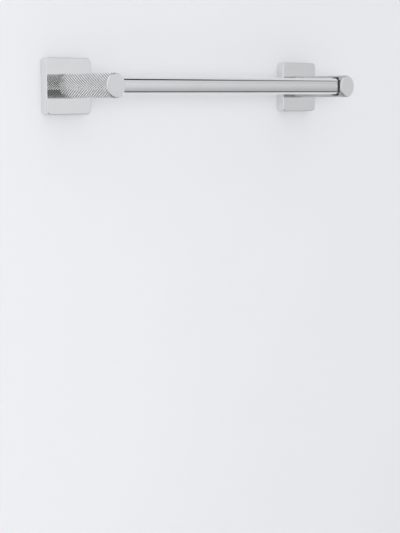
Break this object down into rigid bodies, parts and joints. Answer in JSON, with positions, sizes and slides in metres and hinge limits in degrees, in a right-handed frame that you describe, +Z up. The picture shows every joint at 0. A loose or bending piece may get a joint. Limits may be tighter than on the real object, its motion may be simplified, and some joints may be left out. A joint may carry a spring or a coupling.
{
  "type": "towel bar",
  "caption": "Wall-mounted towel bar: a smooth round bar held between two diamond-knurled posts on square rose plates, all polished chrome.",
  "frame": {"origin": "on the wall plane, midway between the two posts, at the height of the bar's axis", "axes": "+X runs along the bar to the right as seen from the room, +Y goes into the wall, so the room is on the -Y side, +Z is up"},
  "size_m": [0.355, 0.074, 0.05],
  "materials": {
    "polished_chrome": "mirror polished plating",
    "plated_steel": "bright zinc plating",
    "screw_steel": "plain stainless steel",
    "plug_nylon": "moulded nylon"
  },
  "bodies": {
    "root": {"bar_tube": "polished_chrome", "left_post": "polished_chrome", "right_post": "polished_chrome", "left_rose_plate": "polished_chrome", "right_rose_plate": "polished_chrome", "left_wall_bracket": "plated_steel", "right_wall_bracket": "plated_steel", "left_post_screw": "screw_steel", "right_post_screw": "screw_steel", "left_spring_washer": "screw_steel", "right_spring_washer": "screw_steel", "left_rose_grub_screw": "screw_steel", "right_rose_grub_screw": "screw_steel", "left_bar_set_screw": "screw_steel", "right_bar_set_screw": "screw_steel", "left_bar_end_plug": "plug_nylon", "right_bar_end_plug": "plug_nylon"}
  },
  "joints": []
}
